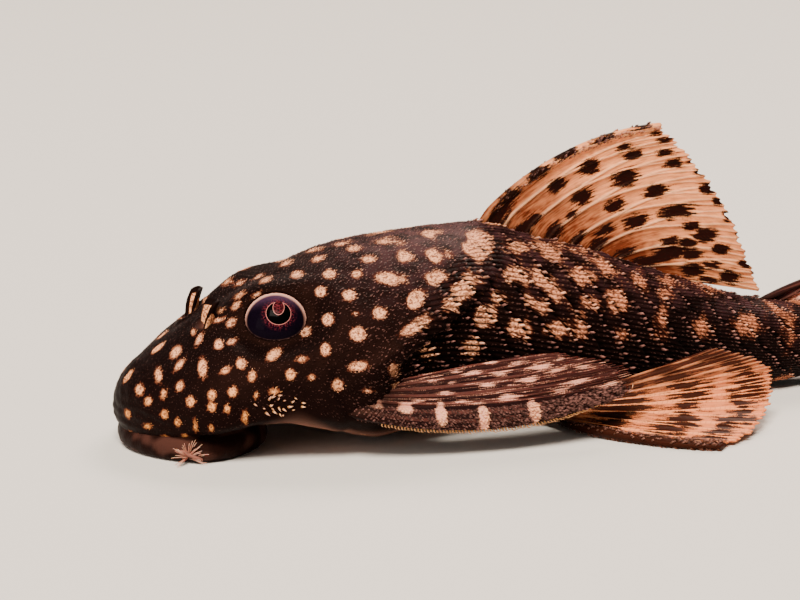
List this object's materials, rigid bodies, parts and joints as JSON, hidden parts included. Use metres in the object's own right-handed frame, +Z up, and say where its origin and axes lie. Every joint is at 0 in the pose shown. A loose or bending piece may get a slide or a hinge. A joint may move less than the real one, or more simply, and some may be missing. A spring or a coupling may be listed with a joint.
{
  "type": "bristlenose pleco",
  "caption": "Young spotted bristlenose pleco at life size, resting on its belly and mouth disc with the dorsal fin raised and the paired fins spread.",
  "frame": {"origin": "the middle of the belly's flat, on the surface that the fish rests on", "axes": "+Z up, the snout towards -X, the fish's left side towards -Y"},
  "size_m": [0.073, 0.03, 0.0195],
  "materials": {
    "skin": "dark brown plated skin with cream spots, satin",
    "lip_skin": "bare brown skin, moist",
    "eye": "dark glossy cornea",
    "pale_fin": "cream fin skin with dark brown spots on the rays",
    "dark_fin": "brown fin skin with pale spots on the rays"
  },
  "bodies": {
    "root": {"head": "skin", "trunk": "skin", "tail": "skin", "lips": "lip_skin", "barbel_left": "lip_skin", "barbel_right": "lip_skin", "nostril_left": "skin", "nostril_right": "skin", "eye_left": "eye", "eye_right": "eye", "dorsal_fin": "pale_fin", "caudal_fin": "pale_fin", "adipose_fin": "dark_fin", "anal_fin": "dark_fin", "pectoral_fin_left": "dark_fin", "pectoral_fin_right": "dark_fin", "pelvic_fin_left": "dark_fin", "pelvic_fin_right": "dark_fin"}
  },
  "joints": []
}
